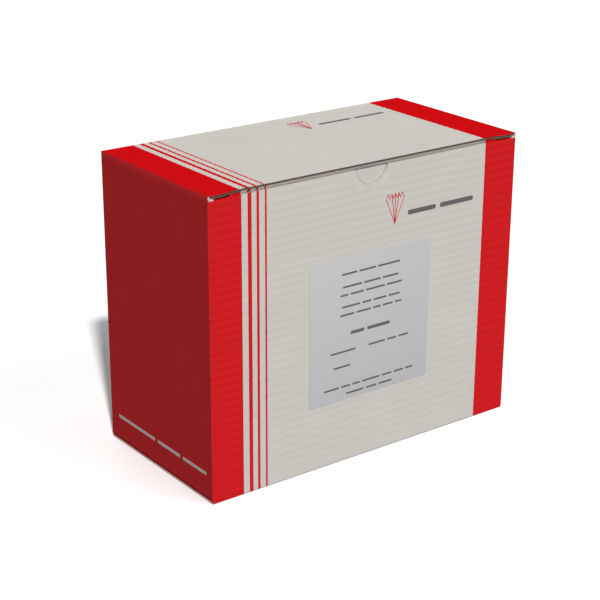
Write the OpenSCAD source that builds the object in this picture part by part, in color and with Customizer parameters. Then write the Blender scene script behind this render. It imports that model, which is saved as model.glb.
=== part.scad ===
// Tuck-top carton of corrugated board with its pile of folded filter papers.
// X runs across the front, Y to the back and Z up, from the middle of the bottom.

/* [Filters] */
// Diameter of one filter laid flat
filter_d = 185; // [160:5:200]
// Number of folded filters in the carton
filter_count = 100; // [90:1:120]
// Height that each nested filter adds to the pile
nest_pitch = 1.3; // [1.15:0.05:1.5]
// Pleats across one ply of a folded filter
pleats = 16; // [12:2:20]
// Angle over which a folded filter fans out
fan_spread = 150; // [144:1:156]
// Thickness of one ply of paper
ply_t = 0.3; // [0.2:0.05:0.4]

/* [Carton] */
// Thickness of the corrugated board
board_t = 1.5; // [1.2:0.1:1.8]
// Outer radius of every fold
crease_r = 0.8; // [0.4:0.1:1]
// Free room beside the full width of a filter, at each end
side_room = 6; // [4:0.5:10]
// Free room in front of the filters and behind them
depth_room = 2.25; // [2:0.25:5]
// Width of the glue flap inside the back wall
glue_w = 25; // [15:1:35]
// Gap between the edges of the two glued bottom flaps
seam_gap = 0.6; // [0.4:0.1:1.5]
// Length of the dust flaps at the top
dust_l = 50; // [35:1:60]
// Slope of the long edges of the dust flaps, in degrees
dust_taper = 8; // [0:1:12]
// Radius of the thumb notch
notch_r = 10.6; // [9:0.2:13]
// Depth of the thumb notch below the edge of the front wall
notch_depth = 9.4; // [7:0.2:10]

/* [Lid] */
// Length of the tuck flap, from the top of the lid to its tip
tuck_l = 18.5; // [16:0.5:24]
// Radius of the tuck flap's free corners
tuck_corner_r = 12; // [6:1:14]
// Length of the shoulder beside the tuck flap, at each end
tuck_inset = 14; // [12:1:20]
// Radius of the groove pressed along the tuck crease
groove_r = 0.3; // [0.2:0.05:0.35]
// Thickness of a crushed edge of the board
edge_t = 0.8; // [0.6:0.1:1]
// Width over which an edge is crushed
crush_w = 3; // [2:0.5:5]
// Clearance between the lid and the carton
lid_gap = 0.3; // [0.2:0.05:0.5]

/* [Label] */
// Width of the label
label_w = 80; // [50:1:100]
// Height of the label
label_h = 80; // [50:1:90]
// Corner radius of the label
label_r = 2; // [1:0.5:5]
// Thickness of the label
label_t = 0.15; // [0.1:0.05:0.3]
// Distance from the top of the carton down to the label
label_drop = 47; // [30:1:55]
// Distance from the left end of the carton to the label
label_left = 60.5; // [40:0.5:80]

/* [Print] */
// Width of the printed band at the left end of the front
band_left = 18.7; // [10:0.1:25]
// Width of the printed band at the right end of the front
band_right = 22.3; // [10:0.1:30]
// Distance from the left band to the far edge of the first stripe
stripe_first = 6; // [4:0.1:8]
// Distance from one stripe to the next
stripe_step = 4.5; // [3.5:0.1:6]
// Widths of the three stripes
stripe_w = [2, 1.2, 0.9]; // [0.5:0.1:3]

/* [Hidden] */
$fn = 96;
// How far a cutting shape runs past what it cuts, and how deep joined shapes sink into each other
past = 1;
bite = 0.01;

// Folded filters: the pleats stand up and down by pleat_a from the apex outwards
filter_r = filter_d / 2;
facet_a = 180 / pleats;
step_a = fan_spread / pleats;
pleat_a = acos(sqrt((1 + cos(facet_a)) / (1 + cos(step_a))));
pleat_h = filter_r * sin(pleat_a);
fan_depth = filter_r * cos(pleat_a);
seat_gap = 0.2;
rim_parts = 3;
stack_h = (filter_count - 1) * nest_pitch;
filter_h = nest_pitch - seat_gap;
pressed_r = 6;
side_fold = 0.06;

// Carton: outside sizes and the levels of its folds
tip_gap = 1.2;
carton_w = filter_d + 2 * (side_room + board_t);
carton_d = filter_r + 2 * (depth_room + board_t);
floor_t = 2 * board_t;
stack_z = floor_t + seat_gap + pleat_h;
pile_top = stack_z + filter_count * nest_pitch + pleat_h;
carton_h = pile_top + tip_gap + tuck_l;
half_w = carton_w / 2;
half_d = carton_d / 2;
over_w = carton_w + 2 * past;
dust_z = carton_h - board_t - lid_gap;
crown_z = carton_h - edge_t - lid_gap;
front_z = dust_z - lid_gap;
corner_dip = 0.5;
dip_w = 10;
flap_inset = 0.3;
bottom_l = half_d - seam_gap / 2;
panel_step = 0.5;
glue_slope = 8;
glue_gap = 1;

// Lid: it turns about the middle of the rounded back fold
hinge_in = crease_r * (1 - cos(45));
hinge_y = half_d - hinge_in;
hinge_z = carton_h - hinge_in;
mitre_gap = lid_gap / 2 / cos(45);
mitre_l = board_t + past;
wall_reach = norm([hinge_y + half_d - board_t, hinge_z - front_z]);
tuck_r = wall_reach - lid_gap;
crease_back = board_t + 2 * lid_gap;
shoulder_back = lid_gap;
shoulder_bend = 4;
groove_z = carton_h - 2 * groove_r;
dust_in = 2 * board_t + 3 * lid_gap;
root_step = 1;

red = "#c80f14";
grey = "#c9c4be";
white = "#f4f3ee";

// ---- two-dimensional helpers ----

// What a rounded outer corner at the origin takes away from a square one
module corner_cut(r) {
    difference() {
        translate([-r, -r]) square(r + past);
        translate([-r, -r]) circle(r);
    }
}

module rounded_rect(size, r) {
    for (x = [r, size.x - r], y = [r, size.y - r]) translate([x, y]) circle(r);
    translate([r, 0]) square([size.x - 2 * r, size.y]);
    translate([0, r]) square([size.x, size.y - 2 * r]);
}

// Carries a profile drawn in Y and Z along X, over the length given
module along_x(length) {
    translate([-length / 2, 0, 0]) rotate([90, 0, 90]) linear_extrude(length) children();
}

// Carries a profile drawn in X and Z along Y, from y0 to y1
module along_y(y0, y1) {
    translate([0, y1, 0]) rotate([90, 0, 0]) linear_extrude(y1 - y0) children();
}

module both_ends() {
    children();
    mirror([1, 0, 0]) children();
}

// ---- carton ----

// The fields of the print, as slabs that run over the whole carton
module print_fields() {
    first = -half_w + band_left + stripe_first;
    stripes = [for (i = [0 : 2]) [first + i * stripe_step - stripe_w[i], stripe_w[i]]];
    slabs = concat([[-half_w - past, band_left + past], [half_w - band_right, band_right + past]], stripes);
    for (slab = slabs) translate([slab[0], -half_d - past, -past])
        cube([slab[1], carton_d + 2 * past, carton_h + 2 * past]);
}

// Colours the board as it is printed
module printed() {
    color(red) intersection() {
        children();
        print_fields();
    }
    color(grey) difference() {
        children();
        print_fields();
    }
}

module sleeve_outline() {
    translate([-half_w, -half_d]) rounded_rect([carton_w, carton_d], crease_r);
}

// The four walls seen from above, with the glue flap lapped inside the back wall
module sleeve_plan() {
    difference() {
        sleeve_outline();
        translate([-half_w + board_t, -half_d + board_t]) square([carton_w - 2 * board_t, carton_d - 2 * board_t]);
        translate([half_w - panel_step, half_d - board_t]) square(board_t + past);
    }
}

// The glue flap, with its ends cut at a slope
module glue_flap() {
    low = floor_t + glue_gap;
    high = dust_z - board_t - glue_gap;
    root = half_w - board_t;
    tip = root - glue_w;
    drop = glue_w * tan(glue_slope);
    along_y(half_d - 2 * board_t, half_d - board_t + bite)
        polygon([[root + bite, low], [root + bite, high], [tip, high - drop], [tip, low + drop]]);
}

module thumb_notch() {
    translate([0, 0, front_z - notch_depth + notch_r]) rotate([90, 0, 0]) cylinder(r = notch_r, h = carton_d);
}

// Upper edge of the front wall: level, and a little lower towards the corners
module front_cut() {
    dip_z = front_z - corner_dip;
    right = [
        [half_w - 2 * dip_w, front_z], [half_w - dip_w, dip_z],
        [half_w + past, dip_z], [half_w + past, carton_h + past]
    ];
    left = [for (i = [len(right) - 1 : -1 : 0]) [-right[i].x, right[i].y]];
    along_y(-half_d - past, -half_d + board_t + bite) polygon(concat(right, left));
}

module walls() {
    difference() {
        linear_extrude(carton_h) sleeve_plan();
        // The end walls stop at their top folds
        translate([-over_w / 2, -half_d + board_t, dust_z - board_t])
            cube([over_w, carton_d - 2 * board_t, carton_h]);
        front_cut();
        thumb_notch();
        // The back wall is mitred against the lid, and its outer edge is rounded
        along_x(over_w) translate([hinge_y, hinge_z - mitre_gap])
            polygon([[-mitre_l, mitre_l], [-mitre_l, -mitre_l], [past, past], [past, mitre_l]]);
        along_x(over_w) translate([half_d, carton_h]) corner_cut(crease_r);
        // The end walls stop at their bottom folds
        both_ends() translate([half_w - flap_inset, -half_d - past, -past])
            cube([flap_inset + past, carton_d + 2 * past, board_t + past]);
    }
}

// The top fold of the left end wall and its dust flap
module dust_flap() {
    slope_in = (dust_l - crush_w) * tan(dust_taper);
    dust_tip = -half_w + dust_l;
    dust_root = -half_w + crush_w + root_step;
    low = dust_z - board_t;
    intersection() {
        linear_extrude(carton_h) intersection() {
            sleeve_outline();
            polygon([
                [-half_w, -half_d], [-half_w + crush_w, -half_d], [dust_root, -half_d + dust_in],
                [dust_tip, -half_d + dust_in + slope_in], [dust_tip, half_d - dust_in - slope_in],
                [dust_root, half_d - dust_in], [-half_w + crush_w, half_d - board_t], [-half_w, half_d - board_t]
            ]);
        }
        along_y(-half_d, half_d) difference() {
            polygon([
                [-half_w, low - bite], [-half_w, crown_z], [-half_w + crush_w, dust_z], [dust_tip, dust_z],
                [dust_tip, low], [-half_w + board_t, low], [-half_w + board_t, low - bite]
            ]);
            translate([-half_w, crown_z]) mirror([1, 0]) corner_cut(crease_r);
        }
    }
}

// The glued bottom: two outer flaps from front and back over two inner flaps from the ends
module bottom() {
    for (side = [0, 1]) mirror([0, side, 0])
        translate([-half_w + flap_inset, -half_d, 0]) cube([carton_w - 2 * flap_inset, bottom_l, board_t]);
    both_ends() translate([-half_w, -half_d + board_t - bite, board_t])
        cube([bottom_l, carton_d - 2 * board_t + 2 * bite, board_t]);
}

// Rounds the outer edges of the bottom folds
module bottom_folds() {
    for (side = [0, 1]) mirror([0, side, 0])
        along_x(over_w) translate([half_d, 0]) mirror([0, 1]) corner_cut(crease_r);
    both_ends() along_y(-half_d - past, half_d + past)
        translate([half_w, board_t]) mirror([0, 1]) corner_cut(crease_r);
}

module carton_board() {
    difference() {
        union() {
            walls();
            glue_flap();
            both_ends() dust_flap();
            bottom();
        }
        bottom_folds();
    }
}

module carton() {
    printed() carton_board();
}

// ---- lid ----

// The lid's top panel seen from above: its shoulders reach further forward than the tuck crease
module lid_plan() {
    side = half_w - flap_inset;
    bend = half_w - tuck_inset;
    right = [
        [bend, -half_d + crease_back], [bend + shoulder_bend, -half_d + 2 * shoulder_back],
        [side, -half_d + shoulder_back], [side, half_d + past]
    ];
    left = [for (i = [len(right) - 1 : -1 : 0]) [-right[i].x, right[i].y]];
    polygon(concat(right, left));
}

module lid_panel() {
    under = carton_h - board_t;
    difference() {
        linear_extrude(carton_h) lid_plan();
        translate([-over_w / 2, -half_d - past, -past]) cube([over_w, carton_d + 3 * past, under + past]);
        // The mitre at the back, and the rounded outer edge
        along_x(over_w) translate([hinge_y, hinge_z + mitre_gap])
            polygon([[-mitre_l, -mitre_l], [past, past], [mitre_l, past], [mitre_l, -mitre_l]]);
        along_x(over_w) translate([half_d, carton_h]) corner_cut(crease_r);
        // The crushed side edges
        both_ends() along_y(-half_d - past, half_d + past)
            polygon([
                [half_w - crush_w, under], [half_w, carton_h - edge_t], [half_w + past, carton_h - edge_t],
                [half_w + past, under - past], [half_w - crush_w, under - past]
            ]);
    }
}

// The tuck flap is curved about the hinge, so it draws out past the front wall
module tuck_flap() {
    flap_w = carton_w - 2 * tuck_inset;
    low = carton_h - tuck_l;
    intersection() {
        translate([0, hinge_y, hinge_z]) rotate([0, 90, 0]) difference() {
            cylinder(r = tuck_r, h = flap_w, center = true, $fn = 400);
            cylinder(r = tuck_r - board_t, h = over_w, center = true, $fn = 400);
        }
        along_y(-half_d, 0) difference() {
            translate([-flap_w / 2, low]) square([flap_w, groove_z - low]);
            for (s = [0, 1]) mirror([s, 0]) translate([flap_w / 2, low]) mirror([0, 1]) corner_cut(tuck_corner_r);
        }
    }
}

// The groove that the crease leaves between the lid and the tuck flap
module tuck_groove() {
    translate([0, -half_d + crease_back, groove_z]) rotate([0, 90, 0])
        cylinder(r = groove_r, h = over_w - 2 * tuck_inset, center = true, $fn = 32);
}

module lid() {
    difference() {
        printed() {
            lid_panel();
            tuck_flap();
        }
        tuck_groove();
    }
}

// ---- label ----

module label() {
    color(white) along_y(-half_d - label_t, -half_d)
        translate([-half_w + label_left, carton_h - label_drop - label_h]) rounded_rect([label_w, label_h], label_r);
}

// ---- folded filters ----

// Direction of pleat line i: even lines are valleys and odd lines are ridges
function pleat_line(i) =
    let (a = -90 + (i / pleats - 0.5) * fan_spread, e = (i % 2 == 0 ? -1 : 1) * pleat_a)
    [cos(e) * cos(a), cos(e) * sin(a), sin(e)];

// Direction at place t along the fan, so that every facet stays flat and its rim a true arc
function fan_line(t) =
    let (i = min(floor(t), pleats - 1), s = t - i)
    (sin((1 - s) * facet_a) * pleat_line(i) + sin(s * facet_a) * pleat_line(i + 1)) / sin(facet_a);

// A pleated fan with its apex at the origin. Each ring is [height, radius] of the rim, from below.
module fan(rings, from = 0, to = pleats, parts = rim_parts) {
    count = max(1, round((to - from) * parts));
    lines = [for (j = [0 : count]) fan_line(from + (to - from) * j / count)];
    rows = len(rings);
    last = rows - 1;
    rim = [for (ring = rings, l = lines) ring[1] * l + [0, 0, ring[0]]];
    low = len(rim);
    high = low + 1;
    points = concat(rim, [[0, 0, rings[0][0]], [0, 0, rings[last][0]]]);
    faces = concat(
        [for (j = [0 : count - 1]) [low, j, j + 1]],
        [for (j = [0 : count - 1]) [high, last * (count + 1) + j + 1, last * (count + 1) + j]],
        [for (k = [0 : last - 1], j = [0 : count - 1])
            let (a = k * (count + 1) + j) [a + count + 1, a + count + 2, a + 1, a]],
        [concat([low, high], [for (k = [last : -1 : 0]) k * (count + 1)])],
        [concat([high, low], [for (k = [0 : last]) k * (count + 1) + count])]
    );
    polyhedron(points, faces);
}

module in_carton(z) {
    translate([0, fan_depth / 2, z]) children();
}

module filter_stack() {
    color(white) in_carton(stack_z) fan([[0, filter_r], [stack_h, filter_r]]);
}

// One folded filter: two pleated plies, joined along both folded sides and pressed flat at the apex
module top_filter() {
    color(white) in_carton(stack_z + stack_h + seat_gap) difference() {
        fan([[0, filter_r], [filter_h, filter_r]]);
        difference() {
            fan([[ply_t, filter_r + past], [filter_h - ply_t, filter_r + past]], side_fold, pleats - side_fold);
            cylinder(r = pressed_r, h = filter_h);
        }
    }
}

carton();
lid();
label();
filter_stack();
top_filter();
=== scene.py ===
import math
import random
import bmesh
import bpy
from mathutils import Euler, Matrix, Vector
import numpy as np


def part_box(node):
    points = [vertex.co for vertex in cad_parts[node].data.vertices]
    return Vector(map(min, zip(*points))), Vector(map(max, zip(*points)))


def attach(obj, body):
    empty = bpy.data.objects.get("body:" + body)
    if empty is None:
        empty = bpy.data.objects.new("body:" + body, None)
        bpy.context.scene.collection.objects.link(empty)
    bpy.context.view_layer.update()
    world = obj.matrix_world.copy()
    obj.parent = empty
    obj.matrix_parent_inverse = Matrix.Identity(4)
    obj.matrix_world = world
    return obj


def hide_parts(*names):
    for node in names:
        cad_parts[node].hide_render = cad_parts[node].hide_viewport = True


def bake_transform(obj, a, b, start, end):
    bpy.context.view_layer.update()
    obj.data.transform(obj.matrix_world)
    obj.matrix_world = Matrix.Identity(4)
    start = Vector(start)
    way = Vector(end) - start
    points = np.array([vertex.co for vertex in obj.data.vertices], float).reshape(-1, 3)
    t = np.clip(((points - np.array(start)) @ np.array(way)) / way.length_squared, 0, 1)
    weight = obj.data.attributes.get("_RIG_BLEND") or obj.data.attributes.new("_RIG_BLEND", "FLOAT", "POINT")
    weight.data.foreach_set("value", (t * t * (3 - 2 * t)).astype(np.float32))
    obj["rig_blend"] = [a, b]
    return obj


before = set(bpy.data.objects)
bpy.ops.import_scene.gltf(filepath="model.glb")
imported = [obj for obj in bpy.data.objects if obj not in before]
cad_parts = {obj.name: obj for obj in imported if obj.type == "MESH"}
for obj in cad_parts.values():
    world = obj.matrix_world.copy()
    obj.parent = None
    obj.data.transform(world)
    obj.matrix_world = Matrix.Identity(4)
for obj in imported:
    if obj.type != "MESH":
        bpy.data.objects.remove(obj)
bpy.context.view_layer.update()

mm = 0.001  # the script thinks in millimetres, the scene is in metres
xAxis, yAxis, zAxis = range(3)


def addNode(tree, kind, links=None, **settings):
    # Inputs are set by name or number; a Mix node's colours are inputs 6 and 7 and output 2
    made = tree.nodes.new(kind)
    for name, value in settings.items():
        setattr(made, name, value)
    for name, value in (links or {}).items():
        if isinstance(value, bpy.types.NodeSocket):
            tree.links.new(value, made.inputs[name])
        else:
            made.inputs[name].default_value = value
    return made


def linearColour(code):  # sRGB hex to the linear values that Blender works in
    parts = [int(code[i:i + 2], 16) / 255 for i in (1, 3, 5)]
    return [p / 12.92 if p <= 0.04045 else ((p + 0.055) / 1.055) ** 2.4 for p in parts] + [1.0]


def newMaterial(name):
    made = bpy.data.materials.new(name)
    made.use_nodes = True
    made.node_tree.nodes.clear()
    return made, made.node_tree


def placePoints(tree):  # object coordinates in millimetres
    where = addNode(tree, "ShaderNodeTexCoord").outputs["Object"]
    return addNode(tree, "ShaderNodeMapping", {"Vector": where, "Scale": (1 / mm,) * 3}).outputs[0]


noiseSpan = (0.3, 0.7)  # a noise seldom leaves it


def tonedColour(tree, colour, grain, span, tones):
    # The colour goes from the first tone to the second as the grain goes over its span
    tone = addNode(tree, "ShaderNodeMapRange", {
        "Value": grain, "From Min": span[0], "From Max": span[1], "To Min": tones[0], "To Max": tones[1]})
    toned = addNode(tree, "ShaderNodeVectorMath", {0: colour, 1: tone.outputs[0]}, operation="MULTIPLY")
    return toned.outputs[0]


def finishSurface(tree, colour, roughness, specular, height=None, bumpMm=0.0):
    shader = addNode(tree, "ShaderNodeBsdfPrincipled", {
        "Base Color": colour, "Roughness": roughness, "Specular IOR Level": specular, "IOR": 1.45})
    if height is not None:
        bump = addNode(tree, "ShaderNodeBump", {"Height": height, "Distance": bumpMm * mm, "Strength": 1.0})
        tree.links.new(bump.outputs[0], shader.inputs["Normal"])
    addNode(tree, "ShaderNodeOutputMaterial", {"Surface": shader.outputs[0]})


cartonTop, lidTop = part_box("carton")[1] / mm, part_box("lid")[1] / mm
board = {
    "halfWidth": round(cartonTop.x, 3), "halfDepth": round(cartonTop.y, 3), "height": round(lidTop.z, 3),
    "thick": 1.5,  # of the board
    "dustFlapTop": 161.146, "flapTip": 39.0,  # a dust flap's upper side, and half its width at the tip
    "frontDip": 160.346,  # the front wall's edge dips to here at its corners
    "tipDeep": 3.0,  # the dust flaps' tips at the front corners are marked crushed this far back, so they take the darker cut-edge colour as painted shade under the lid's ears
    "foldRound": 0.81,  # a fold's outer side is round this far in from the faces that it joins
    "floorTop": 3.0,  # two bottom flaps lie on each other
    "flutePitch": 4.42,
    "fluteStart": 3.48,  # height of one flute crest
    "samples": 8,  # rows of the mesh to one flute
    "wallRelief": 0.054, "lidRelief": 0.12,  # depth of the washboard
    "endShare": 0.35,  # the end walls have this share of it
    "bed": 0.02,  # the liner lies this far under the ink that is laid on it as separate pieces
    "flapBleed": 6,  # the print runs this far round a fold onto a flap
    "notchRim": 0.45,  # the liner is pressed in round the thumb notch
    "notchReach": 10.7, "notchLow": 151, "notchSplit": -5.2,  # left of the split its wall takes the darker cut-edge colour, a painted shade line
    "rimShadeBelow": 154.6,  # height up to which the notch's wall is painted greyer, a painted shade
    "rolled": (-81.3, 77.7),  # the front wall's edge is rolled in beyond these, under its print
    "bareCorner": 3.6,  # width of the bare stretch at its two ends
    "foldTuck": 0.12,  # the end wall's fold stays this far behind the lid's edge
    "sharpAngle": 33,  # degrees from which an edge stays sharp
}



def fluteWave(tree, run, operation):  # one turn for each flute
    turnPerMm = 2 * math.pi / board["flutePitch"]
    turn = addNode(tree, "ShaderNodeMath", {0: run, 1: turnPerMm}, operation="MULTIPLY")
    return addNode(tree, "ShaderNodeMath", {0: turn.outputs[0]}, operation=operation).outputs[0]


printLook = {
    "redLitSide": "#cc2024", "redShadedSide": "#c81e22",  # painted light: the red is made lighter and darker along each flute, in step with the washboard's light and shade
    "paintedSheenTints": {"X": (1.03, 2.3, 2.1), "Z": (0.98, 0.34, 0.4)},  # painted sheen: the red is paled on faces that point sideways and deepened on faces that point up
    "grey": "#c7c3bd",
    "redBands": [  # from the left end
        (-5, 19.15), (22.75, 25.05), (28.0, 29.5), (32.95, 34.05), (177.7, 205)],
    "edgeWanderMm": 0.02, "wandersPerMm": 1.4,  # unevenness of the bands' edges
    "inkSpeckMm": 0.35,  # mottling of flexo ink on uncoated liner
    "cloudMm": 22,
    "mottle": (0.975, 1.025),  # darkest and lightest, as a share of the colour
    "fibreMm": 0.36, "fibreStretch": 3.2,
}


def makePrintedLiner():
    # White-top kraftliner printed by flexography: fully matt, with a little mottling in the solid areas
    material, tree = newMaterial("printedLiner")
    look = printLook
    place = placePoints(tree)
    across = addNode(tree, "ShaderNodeSeparateXYZ", {"Vector": place}).outputs["X"]
    wander = addNode(tree, "ShaderNodeTexNoise", {
        "Vector": place, "Scale": look["wandersPerMm"], "Detail": 2.0}).outputs["Fac"]
    across = addNode(tree, "ShaderNodeMath", {
        0: wander, 1: look["edgeWanderMm"] * 2, 2: across}, operation="MULTIPLY_ADD").outputs[0]
    share = 0.0
    for start, end in look["redBands"]:
        middle, reach = (start + end) / 2 - board["halfWidth"], (end - start) / 2
        inside = addNode(tree, "ShaderNodeMath", {0: across, 1: middle, 2: reach}, operation="COMPARE")
        inside = inside.outputs[0]
        share = addNode(tree, "ShaderNodeMath", {0: share, 1: inside}, operation="MAXIMUM").outputs[0]
    # Painted light: the red turns lighter and darker along the flutes, in step with the washboard's shading
    run = addNode(tree, "ShaderNodeAttribute", attribute_name="fluteRun").outputs["Fac"]
    wave = fluteWave(tree, run, "SINE")
    litSide = addNode(tree, "ShaderNodeMapRange", {"Value": wave, "From Min": -1.0, "From Max": 1.0}).outputs[0]
    red = addNode(tree, "ShaderNodeMix", {
        0: litSide, 6: linearColour(look["redShadedSide"]), 7: linearColour(look["redLitSide"])}, data_type="RGBA")
    red = red.outputs[2]
    # Painted sheen: the red is tinted by which way its face points
    facing = addNode(tree, "ShaderNodeTexCoord").outputs["Normal"]
    facing = addNode(tree, "ShaderNodeSeparateXYZ", {"Vector": facing}).outputs
    for axis, tint in look["paintedSheenTints"].items():
        square = addNode(tree, "ShaderNodeMath", {0: facing[axis], 1: facing[axis]}, operation="MULTIPLY")
        shift = addNode(tree, "ShaderNodeMix", {
            0: square.outputs[0], 6: (1, 1, 1, 1), 7: (*tint, 1)}, data_type="RGBA").outputs[2]
        red = addNode(tree, "ShaderNodeVectorMath", {0: red, 1: shift}, operation="MULTIPLY").outputs[0]
    ink = addNode(tree, "ShaderNodeMix", {0: share, 6: linearColour(look["grey"]), 7: red}, data_type="RGBA")
    speck = addNode(tree, "ShaderNodeTexNoise", {
        "Vector": place, "Scale": 1 / look["inkSpeckMm"], "Detail": 3.0}).outputs["Fac"]
    cloud = addNode(tree, "ShaderNodeTexNoise", {
        "Vector": place, "Scale": 1 / look["cloudMm"], "Detail": 2.0}).outputs["Fac"]
    mottle = addNode(tree, "ShaderNodeMath", {0: speck, 1: cloud}).outputs[0]
    inked = tonedColour(tree, ink.outputs[2], mottle, (0.6, 1.4), look["mottle"])
    stretch = (1, look["fibreStretch"], look["fibreStretch"])
    fibre = addNode(tree, "ShaderNodeMapping", {"Vector": place, "Scale": stretch}).outputs[0]
    grain = addNode(tree, "ShaderNodeTexNoise", {
        "Vector": fibre, "Scale": 1 / look["fibreMm"], "Detail": 4.0}).outputs["Fac"]
    finishSurface(tree, inked, 1.0, 0.0, grain, 0.012)
    return material


bareLook = {
    "pulp": ("#c9c1b4", "#d4ccc1"), "cloudsPerMm": 0.09,
    "fibresPerMm": 3.0, "fleck": (0.9, 1.03),
}


def makeBareLiner():
    # Bare test liner on the inside: pale recycled pulp with flecks, fully matt
    material, tree = newMaterial("bareLiner")
    place = placePoints(tree)
    fibre = addNode(tree, "ShaderNodeTexNoise", {
        "Vector": place, "Scale": bareLook["fibresPerMm"], "Detail": 5.0, "Roughness": 0.7}).outputs["Fac"]
    cloud = addNode(tree, "ShaderNodeTexNoise", {
        "Vector": place, "Scale": bareLook["cloudsPerMm"], "Detail": 3.0})
    ramp = addNode(tree, "ShaderNodeValToRGB", {"Fac": cloud.outputs["Fac"]})
    for element, spot, code in zip(ramp.color_ramp.elements, (0.3, 0.7), bareLook["pulp"]):
        element.position, element.color = spot, linearColour(code)
    colour = tonedColour(tree, ramp.outputs["Color"], fibre, (0.35, 0.62), bareLook["fleck"])
    finishSurface(tree, colour, 0.85, 0.2, fibre, 0.02)
    return material


edgeLook = {
    "linerMm": 0.24, "mediumMm": 0.2,
    # the cut paper is partly painted shade, darker than lit raw board, and the hollow colour is painted shade
    "paper": "#958f86", "paintedHollowShade": "#3b352c",
    "fuzzPerMm": 4.0, "fuzz": (0.88, 1.06),
    # colours of the painted shade in creases
    "paintedCreaseColours": ("#4f453d", "#5c5148"),
    # colour and grain tones of the painted shade on the notch's wall
    "paintedRimShade": "#b8b4ae", "rubbed": (0.97, 1.03),
    "grainPerMm": 2.5,
}


def makeCutEdge():
    # Die-cut edge of single wall board: two liners and the wavy medium, with painted shade in the flute
    # hollows
    material, tree = newMaterial("cutEdge")
    look = edgeLook
    thick, liner, medium = board["thick"], look["linerMm"], look["mediumMm"]
    where = addNode(tree, "ShaderNodeUVMap", uv_map="boardEdge").outputs[0]
    parts = addNode(tree, "ShaderNodeSeparateXYZ", {"Vector": where})
    depth, wave = parts.outputs["Y"], fluteWave(tree, parts.outputs["X"], "COSINE")
    middle = addNode(tree, "ShaderNodeMath", {
        0: wave, 1: -(thick - 2 * liner) / 2, 2: thick / 2}, operation="MULTIPLY_ADD").outputs[0]
    away = addNode(tree, "ShaderNodeMath", {0: depth, 1: middle}, operation="SUBTRACT").outputs[0]
    away = addNode(tree, "ShaderNodeMath", {0: away}, operation="ABSOLUTE").outputs[0]
    inMedium = addNode(tree, "ShaderNodeMapRange", {
        "Value": away, "From Min": medium * 0.6, "From Max": medium * 1.2, "To Min": 1.0, "To Max": 0.0})
    centred = addNode(tree, "ShaderNodeMath", {0: depth, 1: thick / 2}, operation="SUBTRACT").outputs[0]
    centred = addNode(tree, "ShaderNodeMath", {0: centred}, operation="ABSOLUTE").outputs[0]
    inLiner = addNode(tree, "ShaderNodeMapRange", {
        "Value": centred, "From Min": thick / 2 - liner * 1.2, "From Max": thick / 2 - liner * 0.7})
    solid = addNode(tree, "ShaderNodeMath", {
        0: inMedium.outputs[0], 1: inLiner.outputs[0]}, operation="MAXIMUM").outputs[0]
    crush = addNode(tree, "ShaderNodeAttribute", attribute_name="edgeCrush").outputs["Fac"]
    closed = addNode(tree, "ShaderNodeMath", {0: solid, 1: crush}, operation="MAXIMUM").outputs[0]
    mix = addNode(tree, "ShaderNodeMix", {
        0: closed, 6: linearColour(look["paintedHollowShade"]), 7: linearColour(look["paper"])}, data_type="RGBA")
    fuzz = addNode(tree, "ShaderNodeTexNoise", {
        "Vector": placePoints(tree), "Scale": look["fuzzPerMm"], "Detail": 3.0}).outputs["Fac"]
    colour = tonedColour(tree, mix.outputs[2], fuzz, noiseSpan, look["fuzz"])
    finishSurface(tree, colour, 0.9, 0.15, fuzz, 0.03)
    return material


def makePaintedCreaseShade():
    # Painted shade at a pressed crease, where the liner is folded in on itself: a dark colour on the groove,
    # on the tuck flap's lip and on its rolled ends
    material, tree = newMaterial("paintedCreaseShade")
    grain = addNode(tree, "ShaderNodeTexNoise", {
        "Vector": placePoints(tree), "Scale": edgeLook["grainPerMm"], "Detail": 3.0}).outputs["Fac"]
    ramp = addNode(tree, "ShaderNodeValToRGB", {"Fac": grain})
    for element, code in zip(ramp.color_ramp.elements, edgeLook["paintedCreaseColours"]):
        element.color = linearColour(code)
    finishSurface(tree, ramp.outputs["Color"], 0.9, 0.1, grain, 0.02)
    return material


def makePaintedShadeRim():
    # Printed liner on the wall of the thumb notch, painted a matt grey as shade where the light would
    # brighten it
    material, tree = newMaterial("paintedShadeRim")
    grain = addNode(tree, "ShaderNodeTexNoise", {
        "Vector": placePoints(tree), "Scale": edgeLook["grainPerMm"], "Detail": 3.0}).outputs["Fac"]
    colour = tonedColour(tree, linearColour(edgeLook["paintedRimShade"])[:3], grain, noiseSpan, edgeLook["rubbed"])
    finishSurface(tree, colour, 1.0, 0.0, grain, 0.01)
    return material


boardMaterials = [makePrintedLiner(), makeBareLiner(), makeCutEdge(), makePaintedCreaseShade(), makePaintedShadeRim()]
# the crease kind and the rim-shade kind carry painted shade
printed, bare, cut, crease, paintedRimShade = range(5)
print("materials for the board are ready")


def mergedCopy(nodeName):
    # The frame's mesh is loose triangles: its copy is merged and its flat faces are joined
    bm = bmesh.new()
    bm.from_mesh(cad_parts[nodeName].data)
    bmesh.ops.remove_doubles(bm, verts=bm.verts, dist=2e-6)
    bmesh.ops.dissolve_limit(
        bm, angle_limit=math.radians(0.2), verts=bm.verts, edges=bm.edges, delimit={"NORMAL"})
    bmesh.ops.scale(bm, vec=(1 / mm,) * 3, verts=bm.verts)
    return bm


def facesWhere(bm, test):  # test(centre, normal) picks them
    return [f for f in bm.faces if test(f.calc_center_median(), f.normal)]


def withRims(faces):
    edges, verts = {e for f in faces for e in f.edges}, {v for f in faces for v in f.verts}
    return [*faces, *edges, *verts]


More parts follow.
